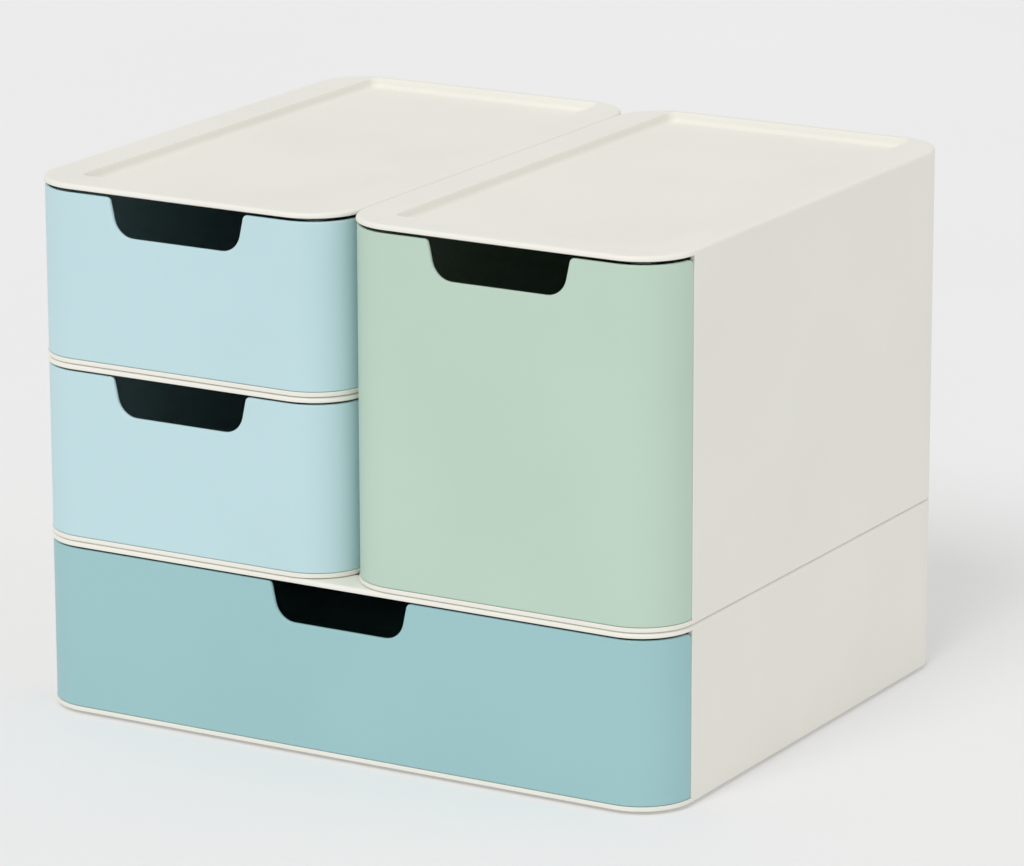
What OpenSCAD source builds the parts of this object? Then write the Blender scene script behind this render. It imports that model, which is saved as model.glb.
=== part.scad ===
// Desk organizer: four stacking drawer modules. A wide module carries a tall one on its right
// and two small ones on its left. Each module is a case, a drawer and four rubber feet.
// X runs across the front, Y from the front to the back and Z up. The origin is on the ground,
// under the middle of the stack.

/* [Stack] */
// Width of the wide base module
stack_w = 280; // [240:2:320]
// Depth of every module
depth = 234; // [200:2:260]
// Height of the base case without its feet
base_h = 68.8; // [60:0.1:80]
// Height of one small case, which is also half of the tall one
small_h = 70.6; // [60:0.1:80]
// Gap between the modules that stand side by side
side_gap = 0.4; // [0.3:0.1:1]

/* [Case] */
// Radius of the four upright corners
corner_r = 21.5; // [16:0.5:26]
// Thickness of the top and bottom plates
plate_t = 2; // [1.6:0.1:2.4]
// Thickness of the side and back walls
wall_t = 2; // [1.6:0.1:2.4]
// Height of the shadow gap round the underside of a case
reveal_h = 0.3; // [0.1:0.1:0.6]
// How far the shadow gap runs in under the case
reveal_w = 2.5; // [1:0.5:4]
// Height of the two runners that the drawer slides on
runner_h = 0.6; // [0.4:0.1:1]
// Width of a runner
runner_w = 4; // [3:0.5:8]
// Distance from the outside of the case to the middle of a runner
runner_inset = 30; // [24:1:40]

/* [Top tray] */
// Depth of the tray sunk into the top, which takes in the next module's feet
tray_d = 4; // [3:0.5:5]
// Width of the flat rim at the front and the sides of the tray
tray_rim = 16; // [15:0.5:20]
// Width of the rim behind the tray
tray_back_rim = 4; // [3:0.5:8]
// Radius of the tray's corners
tray_r = 4; // [3:0.5:6]

/* [Drawer] */
// Thickness of the drawer's walls and floor
drawer_t = 1.8; // [1.6:0.1:2.4]
// How far the drawer's front stands behind the edges of the plates
front_inset = 0.4; // [0.2:0.1:1]
// Gap above the drawer's front in a module with nothing on top
front_gap_top = 1.5; // [0.8:0.1:1.8]
// Gap above the drawer's front in a module whose top plate carries another module
loaded_gap_top = 0.9; // [0.6:0.1:1.6]
// Gap below the drawer's front
front_gap_bottom = 0.2; // [0.2:0.1:0.8]
// Gap between the front's wrapped edge and the front edge of the case's side wall
seam = 0.2; // [0.2:0.1:0.8]
// How far the wrapped front reaches along the narrower part behind it
wrap_overlap = 7; // [5:0.5:10]
// Gap between the drawer's sides and the case's side walls
side_clear = 0.6; // [0.4:0.1:1]
// Gap behind the drawer
rear_clear = 2; // [1:0.5:4]
// Gap between the drawer's floor and the runners, and between the drawer and its stops
slide_gap = 0.3; // [0.3:0.05:0.5]
// Gap between the drawer's sides and the underside of the tray
tray_clear = 1.8; // [1.2:0.1:4]
// How far the drawer slides out
travel = 170; // [80:5:170]

/* [Finger notch] */
// Width of the notch at the top edge of the drawer's front
notch_w = 60; // [50:0.5:70]
// Depth of the notch
notch_d = 15; // [10:0.5:20]
// Angle of the notch's sides from upright
notch_angle = 12; // [5:1:20]
// Radius of the notch's lower corners
notch_r = 8.5; // [4:0.5:9]
// Radius of the notch's upper corners
notch_lip_r = 2; // [1:0.5:3]

/* [Stops] */
// Height of the drawer's ears above its sides
ear_h = 4.4; // [4:0.1:4.8]
// Length of an ear
ear_l = 12; // [8:1:16]
// How far the case's stop ribs hang down from the top plate
stop_h = 3.2; // [3:0.1:3.4]
// Length of a stop rib, measured from the inside of the side wall
stop_l = 9; // [6:1:12]
// Thickness of a stop rib
stop_t = 2; // [1.6:0.1:3]

/* [Feet] */
// Diameter of a rubber foot
foot_d = 12; // [8:1:16]
// Height of a foot
foot_h = 1.2; // [1:0.1:2]
// Distance from the sides and the front of a case to the middle of a foot
foot_inset = 30; // [26:1:40]
// Distance from the back of a case to the middle of a foot
foot_back_inset = 22; // [18:1:40]

/* [Hidden] */
$fn = 96;
MODULES = ["base", "small_lower", "small_upper", "tall"];
CORNERS = ["front_left", "front_right", "back_left", "back_right"];

CREAM = [0.93, 0.92, 0.87];
LIGHT_BLUE = [0.76, 0.86, 0.88];
TEAL = [0.61, 0.77, 0.78];
MINT = [0.74, 0.84, 0.77];
RUBBER = [0.25, 0.25, 0.25];

half_w = (stack_w - side_gap) / 2;
half_x = (half_w + side_gap) / 2;
// A tool runs past the face that it cuts by this much
past = 1;
// The notch's sides end this far inside the circles of its upper corners, so that they cross
bite = 0.01;
// Where the drawer's wrapped front ends, at the front edge of the case's side wall
wrap_y = corner_r - seam;
// Where the narrower part of the drawer starts, inside the wrapped front
join_y = corner_r - wrap_overlap;
box_inset = wall_t + side_clear;
floor_z = plate_t + runner_h + slide_gap;
tray_under = tray_d + plate_t;
stop_y = depth - corner_r - ear_l - travel - slide_gap - stop_t;

function is_base(m) = m == "base";
function is_tall(m) = m == "tall";
function module_w(m) = is_base(m) ? stack_w : half_w;
function module_h(m) = is_base(m) ? base_h : is_tall(m) ? 2 * small_h : small_h;
function module_x(m) = is_base(m) ? 0 : is_tall(m) ? half_x : -half_x;
function gap_top(m) = is_base(m) || m == "small_lower" ? loaded_gap_top : front_gap_top;
function module_z(m) = foot_h + (is_base(m) ? 0 : base_h) + (m == "small_upper" ? small_h : 0);
function front_sign(c) = c == "front_left" || c == "front_right";
function side_sign(c) = c == "front_left" || c == "back_left" ? -1 : 1;

// Moves a piece from its module's own frame, whose origin is at the middle of the case's
// front edge on its underside, into the stack
module place(m) {
    translate([module_x(m), -depth / 2, module_z(m)]) children();
}

// Plan of a case, drawn in by inset
module plan(w, inset = 0) {
    middle_w = w - 2 * corner_r;
    translate([-middle_w / 2, inset]) square([middle_w, depth - 2 * inset]);
    translate([inset - w / 2, corner_r]) square([w - 2 * inset, depth - 2 * corner_r]);
    for (x = [-middle_w / 2, middle_w / 2], y = [corner_r, depth - corner_r])
        translate([x, y]) circle(corner_r - inset);
}

// Plan of the tray in the top, made larger by grow
module tray_plan(w, grow = 0) {
    tray_w = w - 2 * tray_rim;
    tray_l = depth - tray_rim - tray_back_rim;
    middle_w = tray_w - 2 * tray_r;
    translate([0, tray_rim]) {
        translate([-middle_w / 2, -grow]) square([middle_w, tray_l + 2 * grow]);
        translate([-tray_w / 2 - grow, tray_r]) square([tray_w + 2 * grow, tray_l - 2 * tray_r]);
        for (x = [-middle_w / 2, middle_w / 2], y = [tray_r, tray_l - tray_r])
            translate([x, y]) circle(tray_r + grow);
    }
}

// Plan of a drawer, drawn in by inset: a front that wraps round the corners flush with the
// case, and a narrower box behind it that passes between the case's side walls
module drawer_plan(w, inset = 0) {
    intersection() {
        plan(w, front_inset + inset);
        translate([-w / 2, 0]) square([w, wrap_y - inset]);
    }
    intersection() {
        translate([0, side_clear - rear_clear]) plan(w, box_inset + inset);
        translate([-w / 2, join_y]) square([w, depth]);
    }
}

// Outline of the finger notch, with its middle on x = 0 and the drawer's top edge on y = 0
module notch_outline() {
    slope = tan(notch_angle);
    normal_x = cos(notch_angle);
    normal_y = sin(notch_angle);
    // The lower corner's centre, at notch_r from the bottom and from the sloping side
    low_y = notch_r - notch_d;
    low_x = notch_w / 2 + low_y * slope - notch_r / normal_x;
    side_x = low_x + notch_r * normal_x;
    side_y = low_y - notch_r * normal_y;
    // The upper corner's centre, at notch_lip_r from the top and from the sloping side
    lip_x = notch_w / 2 - notch_lip_r * slope + notch_lip_r / normal_x;
    lip_side_x = lip_x - (notch_lip_r - bite) * normal_x;
    lip_side_y = (notch_lip_r - bite) * normal_y - notch_lip_r;
    difference() {
        polygon([
            [-low_x, -notch_d],
            [low_x, -notch_d],
            [side_x, side_y],
            [lip_side_x, lip_side_y],
            [lip_x, -notch_lip_r],
            [lip_x, past],
            [-lip_x, past],
            [-lip_x, -notch_lip_r],
            [-lip_side_x, lip_side_y],
            [-side_x, side_y]
        ]);
        for (side = [-1, 1]) translate([side * lip_x, -notch_lip_r]) circle(notch_lip_r);
    }
    for (side = [-1, 1]) translate([side * low_x, low_y]) circle(notch_r);
}

// One case: a bottom plate, side and back walls, and a top plate with a sunken tray
module case_shell(w, h) {
    difference() {
        union() {
            linear_extrude(h) plan(w, reveal_w);
            translate([0, 0, reveal_h]) linear_extrude(h - reveal_h) plan(w);
        }
        difference() {
            translate([0, 0, plate_t]) linear_extrude(h - 2 * plate_t) plan(w, wall_t);
            translate([0, 0, h - tray_under]) linear_extrude(tray_under) tray_plan(w, wall_t);
        }
        translate([-w / 2 - past, -past, plate_t])
            cube([w + 2 * past, corner_r + past, h - plate_t - tray_under]);
        difference() {
            translate([-w / 2 - past, -past, h - tray_under - past])
                cube([w + 2 * past, corner_r + past, tray_d + past]);
            translate([0, 0, h - tray_under]) linear_extrude(tray_under) tray_plan(w, wall_t);
        }
        translate([0, 0, h - tray_d]) linear_extrude(tray_d + past) tray_plan(w);
    }
    for (side = [-1, 1]) {
        // Runner
        translate([side * (w / 2 - runner_inset) - runner_w / 2, corner_r + runner_w, plate_t])
            cube([runner_w, depth - 2 * corner_r, runner_h]);
        // Stop rib, beside the tray
        translate([side * (w / 2 - wall_t - stop_l / 2) - stop_l / 2, stop_y, h - plate_t - stop_h])
            cube([stop_l, stop_t, stop_h]);
    }
}

// One drawer, pushed all the way in, with a gap above its front
module drawer_box(w, h, gap) {
    front_z = plate_t + front_gap_bottom;
    front_top = h - plate_t - gap;
    side_top = h - tray_under - tray_clear;
    difference() {
        linear_extrude(front_top) drawer_plan(w);
        // The space inside
        translate([0, 0, floor_z + drawer_t]) linear_extrude(h) drawer_plan(w, drawer_t);
        // Below the front, and a little more below the rest
        translate([-w / 2 - past, -past, -past]) cube([w + 2 * past, depth, front_z + past]);
        translate([-w / 2 - past, wrap_y, -past]) cube([w + 2 * past, depth, floor_z + past]);
        // Above the sides and the back
        translate([-w / 2 - past, wrap_y, side_top]) cube([w + 2 * past, depth, h]);
        translate([0, corner_r, front_top])
            rotate([90, 0, 0]) linear_extrude(corner_r + past) notch_outline();
    }
    // Ears that meet the case's stop ribs when the drawer is all the way out
    for (side = [-1, 1])
        translate([side * (w / 2 - box_inset - drawer_t / 2) - drawer_t / 2,
                   depth - corner_r - ear_l, side_top])
            cube([drawer_t, ear_l, ear_h]);
}

// The case and the drawer of the named module, in their place in the stack
module placed_case(m) {
    color(CREAM) place(m) case_shell(module_w(m), module_h(m));
}

module placed_drawer(m) {
    place(m) drawer_box(module_w(m), module_h(m), gap_top(m));
}

module base_case() {
    placed_case("base");
}

module small_lower_case() {
    placed_case("small_lower");
}

module small_upper_case() {
    placed_case("small_upper");
}

module tall_case() {
    placed_case("tall");
}

module base_drawer() {
    color(TEAL) placed_drawer("base");
}

module small_lower_drawer() {
    color(LIGHT_BLUE) placed_drawer("small_lower");
}

module small_upper_drawer() {
    color(LIGHT_BLUE) placed_drawer("small_upper");
}

module tall_drawer() {
    color(MINT) placed_drawer("tall");
}

// One rubber foot under the named corner of a module
module foot(m, c) {
    x = side_sign(c) * (module_w(m) / 2 - foot_inset);
    y = front_sign(c) ? foot_inset : depth - foot_back_inset;
    color(RUBBER) place(m) translate([x, y, -foot_h]) cylinder(h = foot_h, d = foot_d);
}

base_case();
small_lower_case();
small_upper_case();
tall_case();
base_drawer();
small_lower_drawer();
small_upper_drawer();
tall_drawer();
for (m = MODULES, c = CORNERS)
    foot(m, c);
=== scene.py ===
import math

import bmesh
import bpy
from mathutils import Matrix, Vector


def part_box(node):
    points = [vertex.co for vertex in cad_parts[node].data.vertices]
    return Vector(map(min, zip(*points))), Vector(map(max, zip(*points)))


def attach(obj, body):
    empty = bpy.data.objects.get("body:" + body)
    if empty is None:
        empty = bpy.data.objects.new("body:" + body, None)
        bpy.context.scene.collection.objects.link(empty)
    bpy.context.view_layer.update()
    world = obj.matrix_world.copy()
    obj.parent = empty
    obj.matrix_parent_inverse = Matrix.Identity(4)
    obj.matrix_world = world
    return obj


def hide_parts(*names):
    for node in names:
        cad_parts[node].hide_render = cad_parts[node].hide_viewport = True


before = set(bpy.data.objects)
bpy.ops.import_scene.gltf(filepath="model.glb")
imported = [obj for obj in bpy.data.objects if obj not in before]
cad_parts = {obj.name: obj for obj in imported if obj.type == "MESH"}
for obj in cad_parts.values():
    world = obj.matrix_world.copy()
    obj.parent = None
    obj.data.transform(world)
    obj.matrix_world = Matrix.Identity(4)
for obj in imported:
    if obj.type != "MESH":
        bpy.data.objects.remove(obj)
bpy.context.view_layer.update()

# ---------------------------------------------------------------- sizes, in millimetres

MM = 0.001

CORNER_R = 21.5        # upright corners of every case
PLATE_T = 2.0          # top and bottom plates
WALL_T = 2.0           # side and back walls of a case
REVEAL_H = 0.3         # shadow gap round the underside
REVEAL_W = 2.5
TOP_EDGE_R = 1.4       # rounding of the top plate's outer edge
EDGE_R = 0.3           # rounding of the other edges, unless said otherwise
LIP_R = 0.25           # rounding of the edges round the drawer's opening
SILL_R = 0.15          # rounding of the bottom plate's upper edge below the drawer's front

TRAY_D = 4.0           # depth of the tray in the top
TRAY_RIM = 16.0        # rim at the front and the sides of the tray
TRAY_BACK_RIM = 4.0    # rim behind the tray
TRAY_R = 4.0           # corners of the tray
TRAY_EDGE_R = 0.5      # rounding of the tray's upper edge
TRAY_COVE_R = 2.4      # hollow curve between the tray's wall and its floor
TRAY_DRAFT = 0.35      # how far the tray's wall leans out over its height
TRAY_SHELL = 1.5       # thickness of the tray's wall, seen from below

RUNNER_H = 0.6         # runners on a case's floor
RUNNER_W = 4.0
RUNNER_INSET = 30.0
BAR_EDGE_R = 0.25      # rounding of a runner or a stop rib
BAR_SINK = 0.6         # how far a runner or a rib is sunk into the walls it meets
STOP_H = 3.2           # stop ribs under a case's top plate
STOP_L = 9.0
STOP_T = 2.0
STOP_Y = 28.2

DRAWER_T = 1.8         # walls and floor of a drawer
FRONT_INSET = 0.4      # the drawer's front stands this far behind the plates' edges
SEAM = 0.2             # gap between the wrapped front and the case's side wall
SIDE_CLEAR = 0.6
REAR_CLEAR = 2.0
FRONT_GAP_BOTTOM = 0.2
FLOOR_LIFT = 0.9       # underside of the drawer above the case's floor
RIM_R = 0.8            # rounding of the drawer's upper edge
WRAP_R = 2.0           # upper corners at the ends of the wrapped front
WRAP_FLAT = 1.5        # level stretch behind the wrapped front, where the side's rim starts
WRAP_FALL = 5.0        # distance behind the wrapped front at which the side's rim is fully down
WRAP_FALL_R = 1.8      # rounding at the two ends of that slope
HEM_R = 0.15           # rounding of the wrapped front's lower edge
TRAY_CLEAR = 1.8       # from the drawer's sides up to the tray above them
FLOOR_FILLET = 3.0     # hollow curve between a drawer's walls and its floor
REAR_EDGE_R = 1.0      # rounding under the drawer's sides and back

NOTCH_W = 60.0         # finger notch
NOTCH_D = 15.0
NOTCH_ANGLE = math.radians(12)
NOTCH_R = 8.5
NOTCH_LIP_R = 2.0

EAR_H = 4.4            # ears that meet the stop ribs
EAR_L = 12.0
EAR_SLOPE = 0.4        # how far an ear's ends lean in
EAR_FOOT_R = 0.6       # rounding at the foot of an ear
EAR_TOP_R = 1.2        # rounding at the top of an ear
EAR_END_GAP = 0.8      # from an ear to the curve of the drawer's rear corner

FOOT_EDGE_R = 0.35     # rounding of a foot's lower edge
FOOT_SIDES = 48

HARD_ANGLE = math.radians(40)  # two faces that meet at more than this have a crisp edge
TURN_STEP = math.radians(11)   # one segment of a rounding in a path

ARC_STEPS = 16         # segments in an upright corner
ROUND_STEPS = 4        # segments in a small rounding
BEVEL_STEPS = 3        # segments in a bevelled edge

MODULES = ("base", "small_lower", "small_upper", "tall")
CORNERS = ("front_left", "front_right", "back_left", "back_right")


# ---------------------------------------------------------------- mesh building

def steps(first, last, count):
    """count + 1 evenly spaced values from first to last."""
    return [first + (last - first) * i / count for i in range(count + 1)]


def quarter_round(r, count=ROUND_STEPS):
    """Points round an edge from its wall to its face: (distance in from the wall, distance in
    from the face)."""
    return [(r * (1 - math.cos(a)), r * (1 - math.sin(a))) for a in steps(0, math.pi / 2, count)]


def arc(cx, cy, r, first, last, count):
    """Points on an arc in plan, angles in degrees."""
    angles = [math.radians(a) for a in steps(first, last, count)]
    return [(cx + r * math.cos(a), cy + r * math.sin(a)) for a in angles]


def rounded_plan(x0, x1, y0, y1, r):
    """A rectangle with rounded corners in plan, anticlockwise from the left end of its front."""
    return (
        arc(x0 + r, y0 + r, r, 180, 270, ARC_STEPS)
        + arc(x1 - r, y0 + r, r, 270, 360, ARC_STEPS)
        + arc(x1 - r, y1 - r, r, 0, 90, ARC_STEPS)
        + arc(x0 + r, y1 - r, r, 90, 180, ARC_STEPS)
    )


def rounded_path(points, radii):
    """A path in a plane with its corners rounded: a list of (place, direction) pairs.
    radii has one value for each inner point of the path."""
    points = [Vector(p) for p in points]
    out = [(points[0], (points[1] - points[0]).normalized())]
    for before, corner, after, r in zip(points, points[1:], points[2:], radii):
        come = (corner - before).normalized()
        go = (after - corner).normalized()
        turn = math.atan2(come.x * go.y - come.y * go.x, come.dot(go))
        reach = r * math.tan(abs(turn) / 2)
        start = corner - come * reach
        count = max(2, round(abs(turn) / TURN_STEP))
        side = math.copysign(1, turn)
        centre = start + Vector((-come.y, come.x)) * r * side
        for a in steps(0, turn, count):
            spin = Matrix.Rotation(a, 2)
            heading = spin @ come
            place = centre + Vector((heading.y, -heading.x)) * r * side
            out.append((place, heading))
    out.append((points[-1], (points[-1] - points[-2]).normalized()))
    return out


class Skin:
    """A mesh under construction, in millimetres from the origin that finish is given. For a
    case or a drawer, X runs across the front from its middle, Y back from the front edge and
    Z up from the case's underside. For a foot, all three run from the middle of its underside."""

    def __init__(self):
        self.bm = bmesh.new()
        self.weights = self.bm.edges.layers.float.new("bevel_weight_edge")

    def row(self, points):
        return [self.bm.verts.new(p) for p in points]

    def ring(self, plan, z):
        return self.row((x, y, z) for x, y in plan)

    def band(self, lower, upper, first=0, last=None):
        """Faces between two rows, from column first to column last, or all the way round."""
        n = len(lower)
        last = n if last is None else last
        for i in range(first, last):
            j = (i + 1) % n
            self.bm.faces.new((lower[i % n], lower[j], upper[j], upper[i % n]))

    def bands(self, rows):
        for lower, upper in zip(rows, rows[1:]):
            self.band(lower, upper)

    def face(self, *verts):
        self.bm.faces.new(verts)

    def soften(self, a, b, r):
        """Marks the edge from a to b for the bevel, with radius r."""
        edge = self.bm.edges.get((a, b))
        edge[self.weights] = r / EDGE_R

    def soften_row(self, row, r, first=0, last=None):
        last = len(row) if last is None else last
        for i in range(first, last):
            self.soften(row[i % len(row)], row[(i + 1) % len(row)], r)

    def bar(self, low, high):
        """A bar with rounded edges, from its lowest corner to its highest."""
        made = bmesh.ops.create_cube(self.bm, size=1)["verts"]
        for v in made:
            v.co = [lo + (hi - lo) * (c + 0.5) for lo, hi, c in zip(low, high, v.co)]
        for e in {e for v in made for e in v.link_edges}:
            e[self.weights] = BAR_EDGE_R / EDGE_R

    def finish(self, name, origin, body, material, replaced, bevel=True):
        """Turns the mesh into a piece that rides on a body and replaces a CAD node."""
        bmesh.ops.recalc_face_normals(self.bm, faces=self.bm.faces)
        # An edge is crisp if it is sharp and no bevel will round it
        for e in self.bm.edges:
            hard = len(e.link_faces) == 2 and e.calc_face_angle() > HARD_ANGLE
            e.smooth = not hard or e[self.weights] > 0
        for f in self.bm.faces:
            f.smooth = True
        self.bm.transform(Matrix.Translation(origin) @ Matrix.Scale(MM, 4))
        mesh = bpy.data.meshes.new(name)
        self.bm.to_mesh(mesh)
        self.bm.free()
        mesh.materials.append(material)
        piece = bpy.data.objects.new(name, mesh)
        bpy.context.scene.collection.objects.link(piece)
        if bevel:
            mod = piece.modifiers.new("edges", "BEVEL")
            mod.limit_method = "WEIGHT"
            mod.width = EDGE_R * MM
            mod.segments = BEVEL_STEPS
            mod.use_clamp_overlap = False
        mod = piece.modifiers.new("shading", "WEIGHTED_NORMAL")
        mod.keep_sharp = True
        mod.weight = 80
        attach(piece, body)
        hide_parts(replaced)
        return piece


# ---------------------------------------------------------------- the case

def case_plan(w, d, inset=0):
    return rounded_plan(inset - w / 2, w / 2 - inset, inset, d - inset, CORNER_R - inset)


def tray_plan(w, d, grow):
    return rounded_plan(
        TRAY_RIM - w / 2 - grow, w / 2 - TRAY_RIM + grow,
        TRAY_RIM - grow, d - TRAY_BACK_RIM + grow, TRAY_R + grow)


def tray_profile():
    """The tray's wall from the rim down to its floor: (how far it stands out, height)."""
    upper = [(out, -drop) for out, drop in reversed(quarter_round(TRAY_EDGE_R))]
    lower = [(-TRAY_DRAFT - inset, rise - TRAY_D)
             for inset, rise in quarter_round(TRAY_COVE_R, 2 * ROUND_STEPS)]
    return upper + lower


def make_case(module, material):
    lo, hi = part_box(module + "_case")
    w, d, h = (hi - lo) / MM
    skin = Skin()
    # Points 0 to jamb of a plan run along the open front, from its left end to its right
    jamb = 2 * ARC_STEPS + 1
    outer = case_plan(w, d)
    inner = case_plan(w, d, WALL_T)
    under = case_plan(w, d, REVEAL_W)
    foot, sill, head = (skin.ring(outer, z) for z in (REVEAL_H, PLATE_T, h - PLATE_T))
    floor, ceiling = (skin.ring(inner, z) for z in (PLATE_T, h - PLATE_T))
    # The underside, which stands a little lower than the shadow gap round it
    base = [skin.ring(under, z) for z in (0, REVEAL_H)]
    skin.face(*base[0])
    skin.bands(base + [foot, sill])
    # The top plate's edge
    edge = [skin.ring(case_plan(w, d, inset), h - drop)
            for inset, drop in quarter_round(TOP_EDGE_R, 2 * ROUND_STEPS)]
    skin.bands([head] + edge)
    # The wall between the plates, which leaves the front open
    skin.band(sill, floor, 0, jamb)
    skin.band(ceiling, head, 0, jamb)
    skin.band(sill, head, jamb, len(outer))
    skin.band(ceiling, floor, jamb, len(outer))
    skin.face(*floor)
    for i in (0, jamb):
        skin.face(sill[i], head[i], ceiling[i], floor[i])
    # The tray, from above and from below
    rows = [skin.ring(tray_plan(w, d, grow), h + z) for grow, z in tray_profile()]
    skin.bands(edge[-1:] + rows)
    skin.face(*rows[-1])
    shell = [skin.ring(tray_plan(w, d, TRAY_SHELL), z) for z in (h - PLATE_T, h - TRAY_D - PLATE_T)]
    skin.band(ceiling, shell[0])
    skin.bands(shell)
    skin.face(*shell[1])
    # Rounded edges
    skin.soften_row(foot, EDGE_R)
    skin.soften_row(sill, SILL_R, 0, jamb)
    skin.soften_row(head, LIP_R, 0, jamb)
    for i in (0, jamb):
        skin.soften(sill[i], head[i], LIP_R)
        skin.soften(floor[i], ceiling[i], LIP_R)
    # Runners on the floor and stop ribs beside the tray
    for side in (-1, 1):
        x = side * (w / 2 - RUNNER_INSET)
        skin.bar((x - RUNNER_W / 2, CORNER_R + RUNNER_W, PLATE_T - BAR_SINK),
                 (x + RUNNER_W / 2, d - CORNER_R + RUNNER_W, PLATE_T + RUNNER_H))
        left, right = sorted((side * (w / 2 - WALL_T + BAR_SINK), side * (w / 2 - WALL_T - STOP_L)))
        skin.bar((left, STOP_Y, h - PLATE_T - STOP_H),
                 (right, STOP_Y + STOP_T, h - PLATE_T + BAR_SINK))
    origin = Vector(((lo.x + hi.x) / 2, lo.y, lo.z))
    skin.finish(module + "_shell", origin, module + "_module", material,
                module + "_case")


# ---------------------------------------------------------------- the drawer

class Column:
    """One upright line on a drawer's wall. place(inset) gives its plan position at a depth
    inside the outer face, along is the wall's direction in plan, rim is the height of the
    wall's upper edge and inward points from that edge into the wall: (along, up)."""

    def __init__(self, place, along, rim, inward=(0, -1)):
        self.place = place
        self.along = along
        self.rim = rim
        self.inward = inward

    def point(self, inset, drop):
        """The point at a depth inside the outer face and a distance inside the rim."""
        x, y = self.place(inset)
        run = drop * self.inward[0]
        return x + run * self.along[0], y + run * self.along[1], self.rim + drop * self.inward[1]

    def upright(self, inset, z):
        """The point straight below where the rim's rounding meets the wall."""
        x, y, _ = self.point(inset, RIM_R)
        return x, y, z


def front_columns(w, rim):
    """Columns of the wrapped front, from the left to the right."""
    centre_x = w / 2 - CORNER_R
    wrap_y = CORNER_R - SEAM

    def corner(side, t):
        def place(inset):
            r = CORNER_R - FRONT_INSET - inset
            last = math.acos((CORNER_R - wrap_y + inset) / r)
            a = last * t
            return side * (centre_x + r * math.sin(a)), CORNER_R - r * math.cos(a)
        return place

    edge = [(-centre_x, 0), (-NOTCH_W / 2, 0), (NOTCH_D * math.tan(NOTCH_ANGLE) - NOTCH_W / 2, -NOTCH_D)]
    edge += [(-x, y) for x, y in reversed(edge)]
    notch = rounded_path(edge, [NOTCH_LIP_R, NOTCH_R, NOTCH_R, NOTCH_LIP_R])
    # The front's upper corners are rounded: (share of the corner's arc, height of the rim)
    radius = CORNER_R - FRONT_INSET
    whole = math.acos((CORNER_R - wrap_y) / radius)
    ends = [(math.acos((CORNER_R - wrap_y + inset) / radius) / whole, rim - drop)
            for inset, drop in quarter_round(WRAP_R)]
    wrap = ends + [(t, rim) for t in steps(ends[-1][0], 0, ARC_STEPS)[1:]]
    columns = [Column(corner(-1, t), (0, 0), height) for t, height in wrap]
    for at, heading in notch[1:-1]:
        columns.append(Column(lambda inset, x=at.x: (x, FRONT_INSET + inset), (1, 0), rim + at.y,
                              (heading.y, -heading.x)))
    columns += [Column(corner(1, t), (0, 0), height) for t, height in reversed(wrap)]
    return columns


def box_columns(w, d, rim, side_rim):
    """Columns of the narrower box behind the front, from the right side round the back."""
    inset_x = WALL_T + SIDE_CLEAR
    centre_x = w / 2 - CORNER_R
    centre_y = d - CORNER_R + SIDE_CLEAR - REAR_CLEAR
    wrap_y = CORNER_R - SEAM
    ear_y = d - CORNER_R - EAR_L
    ear_end = centre_y - EAR_END_GAP
    end_rim = rim - WRAP_R
    edge = [
        (wrap_y, end_rim), (wrap_y + WRAP_FLAT, end_rim), (wrap_y + WRAP_FALL, side_rim),
        (ear_y, side_rim), (ear_y + EAR_SLOPE, side_rim + EAR_H),
        (ear_end - EAR_SLOPE, side_rim + EAR_H), (ear_end, side_rim), (centre_y, side_rim),
    ]
    radii = [WRAP_FALL_R, WRAP_FALL_R, EAR_FOOT_R, EAR_TOP_R, EAR_TOP_R, EAR_FOOT_R]
    side_path = rounded_path(edge, radii)[1:-1]

    def side_columns(side):
        made = []
        for at, heading in side_path:
            def place(inset, y=at.x):
                return side * (w / 2 - inset_x - inset), y
            made.append(Column(place, (0, 1), at.y, (heading.y, -heading.x)))
        return made

    def jog(side):
        """Where the side meets the back of the wrapped front."""
        return Column(lambda inset: (side * (w / 2 - inset_x - inset), wrap_y - inset), (0, 0),
                      end_rim)

    def corner(side, t):
        def place(inset):
            r = CORNER_R - inset_x - inset
            a = math.radians(90 * t)
            return side * (centre_x + r * math.cos(a)), centre_y + r * math.sin(a)
        return Column(place, (0, 0), side_rim)

    back = [corner(1, t) for t in steps(0, 1, ARC_STEPS)]
    back += [corner(-1, t) for t in steps(1, 0, ARC_STEPS)]
    return [jog(1)] + side_columns(1) + back + side_columns(-1)[::-1] + [jog(-1)]


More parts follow.
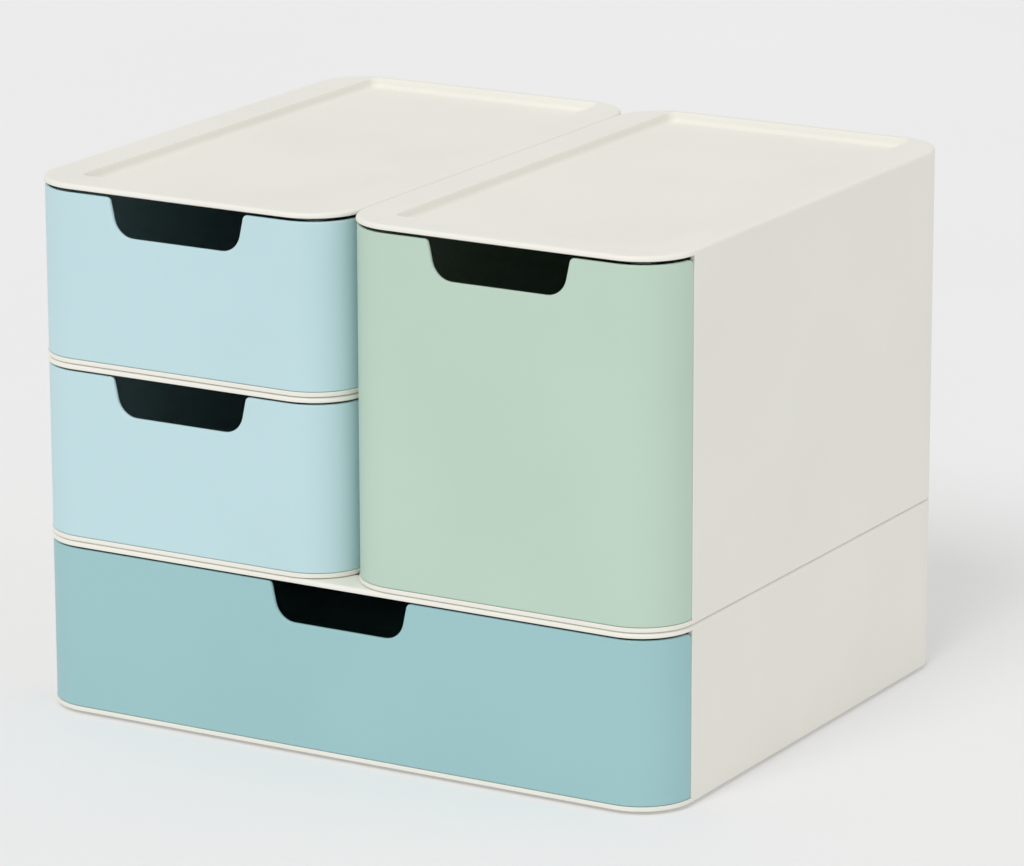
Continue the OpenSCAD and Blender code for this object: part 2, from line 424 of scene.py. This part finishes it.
def make_drawer(module, material):
    case_lo, case_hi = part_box(module + "_case")
    lo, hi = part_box(module + "_drawer")
    w, d, h = (case_hi - case_lo) / MM
    origin = Vector(((case_lo.x + case_hi.x) / 2, case_lo.y, case_lo.z))
    rim = (hi.z - case_lo.z) / MM
    side_rim = h - TRAY_D - PLATE_T - TRAY_CLEAR
    front = front_columns(w, rim)
    columns = front + box_columns(w, d, rim, side_rim)
    skin = Skin()
    under = PLATE_T + FLOOR_LIFT
    front_under = PLATE_T + FRONT_GAP_BOTTOM
    floor = under + DRAWER_T
    # The first and the last column behind the front stand where the two parts join
    box = range(len(front) + 1, len(columns) - 1)
    # Outside wall up to the rim, over it, and down to the floor inside
    rows = [skin.row(c.upright(0, under + REAR_EDGE_R if i in box else under)
                     for i, c in enumerate(columns))]
    outer_foot = rows[0]
    for inset, drop in quarter_round(RIM_R):
        rows.append(skin.row(c.point(inset, drop) for c in columns))
    for inset, drop in reversed(quarter_round(RIM_R)):
        rows.append(skin.row(c.point(DRAWER_T - inset, drop) for c in columns))
    for inset, rise in quarter_round(FLOOR_FILLET, 2 * ROUND_STEPS):
        rows.append(skin.row(c.upright(DRAWER_T + inset, floor + rise) for c in columns))
    skin.bands(rows)
    skin.face(*rows[-1])
    # Down to the wrapped front's lower edge, round it and across its underside
    front_set = columns[-1:] + front + columns[len(front):len(front) + 1]
    before = outer_foot[-1:] + outer_foot[:len(front) + 1]
    for inset, rise in quarter_round(HEM_R):
        after = skin.row(c.upright(inset, front_under + rise) for c in front_set)
        skin.band(before, after)
        before = after
    skin.face(*before)
    # Under the box: a rounding that fades out against the wrapped front
    right, left = outer_foot[len(front)], outer_foot[-1]
    before = [outer_foot[i] for i in box]
    for inset, rise in quarter_round(REAR_EDGE_R)[1:]:
        after = skin.row(columns[i].upright(inset, under + rise) for i in box)
        skin.band(before, after, 0, len(after) - 1)
        skin.face(right, before[0], after[0])
        skin.face(left, after[-1], before[-1])
        before = after
    skin.face(right, *before, left)
    skin.finish(module + "_drawer_box", origin, module + "_drawer", material,
                module + "_drawer", bevel=False)


# ---------------------------------------------------------------- the feet

def make_foot(module, corner, material):
    """A round rubber foot."""
    node = f"{module}_foot_{corner}"
    lo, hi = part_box(node)
    size = (hi - lo) / MM
    r, h = size.x / 2, size.z
    skin = Skin()
    # Radius and height of each ring: two on the flat underside, the rounding, the upper end
    profile = [(r * share, 0) for share in (0.35, 0.7)]
    profile += [(r - inset, rise) for inset, rise in reversed(quarter_round(FOOT_EDGE_R))]
    profile += [(r, h)]
    last = 360 - 360 / FOOT_SIDES
    rows = [skin.ring(arc(0, 0, radius, 0, last, FOOT_SIDES - 1), z) for radius, z in profile]
    skin.bands(rows)
    skin.face(*rows[0])
    skin.face(*rows[-1])
    origin = Vector(((lo.x + hi.x) / 2, (lo.y + hi.y) / 2, lo.z))
    skin.finish(node + "_pad", origin, module + "_module", material, node, bevel=False)


# ---------------------------------------------------------------- materials

class Nodes:
    """Short names for building one material's node tree."""

    def __init__(self, name):
        self.material = bpy.data.materials.new(name)
        self.material.use_nodes = True
        self.tree = self.material.node_tree
        self.shader = self.tree.nodes["Principled BSDF"]
        self.coords = self.tree.nodes.new("ShaderNodeTexCoord").outputs["Object"]

    def noise(self, scale, detail, roughness=0.5):
        node = self.tree.nodes.new("ShaderNodeTexNoise")
        node.inputs["Scale"].default_value = scale
        node.inputs["Detail"].default_value = detail
        node.inputs["Roughness"].default_value = roughness
        self.tree.links.new(self.coords, node.inputs["Vector"])
        return node.outputs["Fac"]

    def ramp(self, value, stops):
        node = self.tree.nodes.new("ShaderNodeValToRGB")
        ends = node.color_ramp.elements
        for element, (at, colour) in zip(ends, stops):
            element.position = at
            element.color = (*colour, 1)
        self.tree.links.new(value, node.inputs["Fac"])
        return node.outputs["Color"]

    def spread(self, value, low, high):
        """Stretches a noise, most of which lies between 0.3 and 0.7, over low to high."""
        node = self.tree.nodes.new("ShaderNodeMapRange")
        node.inputs["From Min"].default_value = 0.3
        node.inputs["From Max"].default_value = 0.7
        node.inputs["To Min"].default_value = low
        node.inputs["To Max"].default_value = high
        self.tree.links.new(value, node.inputs["Value"])
        return node.outputs["Result"]

    def bump(self, height, distance, strength, under=None):
        node = self.tree.nodes.new("ShaderNodeBump")
        node.inputs["Distance"].default_value = distance
        node.inputs["Strength"].default_value = strength
        self.tree.links.new(height, node.inputs["Height"])
        if under:
            self.tree.links.new(under, node.inputs["Normal"])
        return node.outputs["Normal"]

    def join(self, output, socket):
        self.tree.links.new(output, self.shader.inputs[socket])


def plastic(name, colour, roughness=0.46):
    """Matte moulded plastic: a fine spark-eroded grain, a faint waviness of the moulded
    skin, and a tone that drifts very slightly from place to place."""
    n = Nodes(name)
    tone = n.noise(scale=14, detail=3)
    darker = [c * 0.985 for c in colour]
    lighter = [min(1, c * 1.012) for c in colour]
    n.join(n.ramp(tone, ((0.35, darker), (0.65, lighter))), "Base Color")
    sheen = n.noise(scale=60, detail=4)
    n.join(n.spread(sheen, roughness - 0.035, roughness + 0.035), "Roughness")
    wave = n.bump(n.noise(scale=35, detail=1), distance=0.0006, strength=0.06)
    grain = n.noise(scale=2600, detail=3, roughness=0.6)
    n.join(n.bump(grain, distance=0.00004, strength=0.35, under=wave), "Normal")
    n.shader.inputs["IOR"].default_value = 1.48
    n.shader.inputs["Specular IOR Level"].default_value = 0.42
    return n.material


def rubber(name, colour):
    """Soft rubber with a fine grain and a dusty tone."""
    n = Nodes(name)
    darker = [c * 0.8 for c in colour]
    lighter = [c * 1.25 for c in colour]
    dust = n.noise(scale=240, detail=4)
    n.join(n.ramp(dust, ((0.35, darker), (0.65, lighter))), "Base Color")
    n.join(n.spread(n.noise(scale=500, detail=3), low=0.7, high=0.85), "Roughness")
    grain = n.noise(scale=3200, detail=2)
    n.join(n.bump(grain, distance=0.00006, strength=0.5), "Normal")
    return n.material


CREAM = plastic("cream_plastic_skin", (0.846, 0.832, 0.760))
TEAL = plastic("teal_plastic_skin", (0.333, 0.558, 0.580))
LIGHT_BLUE = plastic("light_blue_plastic_skin", (0.524, 0.721, 0.762))
MINT = plastic("mint_plastic_skin", (0.504, 0.648, 0.540))
RUBBER = rubber("foot_rubber_skin", (0.12, 0.12, 0.115))

for module in MODULES:
    make_case(module, CREAM)
    for corner in CORNERS:
        make_foot(module, corner, RUBBER)
make_drawer("base", TEAL)
make_drawer("small_lower", LIGHT_BLUE)
make_drawer("small_upper", LIGHT_BLUE)
make_drawer("tall", MINT)


# ---------------------------------------------------------------- floor, light and camera

FLOOR_TONE = 0.66
FLOOR_DRIFT = 0.005    # how far that tone drifts to either side
FLOOR_GLOW = 0.20      # the floor is a pale light table, so that shadows on it stay faint
FLOOR_REACH = 60       # metres from the middle to the edge, so that no view sees past it

# The view: angles in degrees, lengths in millimetres
AZIMUTH = 30.283       # round to the right of the front
ELEVATION = 15.112     # above the floor
ROLL = -0.153
LENS = 196.16
DISTANCE = 2169.4      # from the camera to the point it is aimed at
AIM = (0, -17, 100)    # that point, before it is moved across the view to frame the stack
AIM_RIGHT = 15.3
AIM_UP = 5.56


def make_floor():
    """A wide pale floor that fills the view behind the stack too."""
    mesh = bpy.data.meshes.new("floor")
    bm = bmesh.new()
    bmesh.ops.create_grid(bm, x_segments=8, y_segments=8, size=FLOOR_REACH)
    bm.to_mesh(mesh)
    bm.free()
    floor = bpy.data.objects.new("floor", mesh)
    bpy.context.scene.collection.objects.link(floor)
    n = Nodes("floor_paper")
    darker = [FLOOR_TONE - FLOOR_DRIFT] * 3
    lighter = [FLOOR_TONE + FLOOR_DRIFT] * 3
    tone = n.noise(scale=3, detail=2)
    n.join(n.ramp(tone, ((0.3, darker), (0.7, lighter))), "Base Color")
    n.join(n.spread(n.noise(scale=8, detail=2), low=0.9, high=0.95), "Roughness")
    n.shader.inputs["Specular IOR Level"].default_value = 0.0
    n.shader.inputs["Emission Color"].default_value = (1, 1, 1, 1)
    n.shader.inputs["Emission Strength"].default_value = FLOOR_GLOW
    mesh.materials.append(n.material)


def make_sun(name, strength, softness, towards):
    """A sun in the direction towards, softness degrees wide."""
    sun = bpy.data.lights.new(name, "SUN")
    sun.energy = strength
    sun.angle = math.radians(softness)
    lamp = bpy.data.objects.new(name, sun)
    bpy.context.scene.collection.objects.link(lamp)
    lamp.rotation_euler = Vector(towards).to_track_quat("Z", "Y").to_euler()


def make_light():
    """An even studio sky, a soft key light above the front and a faint wide one at the right."""
    world = bpy.data.worlds.new("studio")
    bpy.context.scene.world = world
    world.use_nodes = True
    background = world.node_tree.nodes["Background"]
    background.inputs["Color"].default_value = (1, 1, 1, 1)
    background.inputs["Strength"].default_value = 0.67
    make_sun("key", strength=1.13, softness=28, towards=(0, -0.66, 0.75))
    make_sun("fill", strength=0.36, softness=90, towards=(1, 0, 0.05))


def make_camera():
    azimuth, elevation, roll = (math.radians(a) for a in (AZIMUTH, ELEVATION, ROLL))
    back = Vector((math.sin(azimuth) * math.cos(elevation),
                   -math.cos(azimuth) * math.cos(elevation), math.sin(elevation)))
    right = Vector((math.cos(azimuth), math.sin(azimuth), 0))
    up = back.cross(right)
    centre = (Vector(AIM) + right * AIM_RIGHT + up * AIM_UP) * MM
    data = bpy.data.cameras.new("camera")
    data.lens = LENS
    data.sensor_width = 36
    data.clip_start = 0.1
    data.clip_end = 200
    camera = bpy.data.objects.new("camera", data)
    bpy.context.scene.collection.objects.link(camera)
    camera.location = centre + back * DISTANCE * MM
    camera.rotation_mode = "QUATERNION"
    facing = Matrix((right, up, back)).transposed().to_quaternion()
    camera.rotation_quaternion = facing @ Matrix.Rotation(roll, 3, "Z").to_quaternion()
    bpy.context.scene.camera = camera


make_floor()
make_light()
make_camera()
bpy.context.scene.view_settings.view_transform = "Standard"
